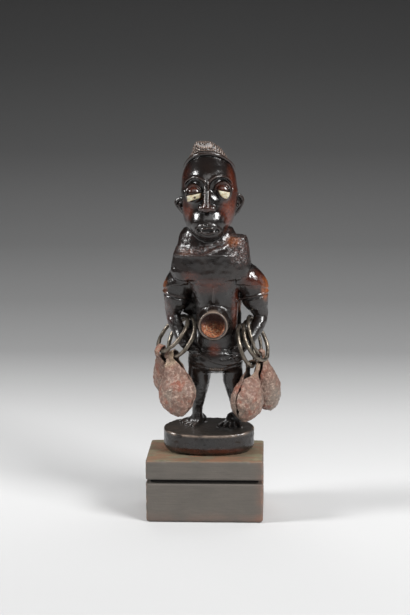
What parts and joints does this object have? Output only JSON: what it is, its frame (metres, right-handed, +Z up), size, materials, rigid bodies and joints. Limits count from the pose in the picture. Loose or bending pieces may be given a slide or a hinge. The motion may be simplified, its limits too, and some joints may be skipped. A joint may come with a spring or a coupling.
{
  "type": "nkisi nkondi figure",
  "caption": "Carved standing power figure with inlaid eyes, a belly cup, and bells hanging from wrist rings, on a grooved block.",
  "frame": {"origin": "middle of the block's underside", "axes": "+Z up; the figure faces -Y; +X is to the right for someone who looks at its face"},
  "size_m": [0.0848, 0.0483, 0.2382],
  "materials": {
    "oiled_wood": "oiled and smoked hardwood, black-brown, glossy with worn red-brown patches",
    "waxed_block": "stained and waxed grey-brown, worn at the edges",
    "bone": "rubbed bone, satin",
    "worn_iron": "forged wire, dark, rubbed bright where it is handled",
    "rusted_iron": "hammered sheet, rusted red-brown"
  },
  "bodies": {
    "root": {"plinth_block": "waxed_block", "carved_figure": "oiled_wood", "eye_inlay_left": "bone", "eye_inlay_right": "bone", "left_wrist_ring_outer": "worn_iron", "left_wrist_ring_inner": "worn_iron", "right_wrist_ring_inner": "worn_iron", "right_wrist_ring_outer": "worn_iron", "right_wrist_ring_thin": "worn_iron", "bell_left_front": "rusted_iron", "bell_left_back": "rusted_iron", "bell_right_front": "rusted_iron", "bell_right_back": "rusted_iron"}
  },
  "joints": []
}
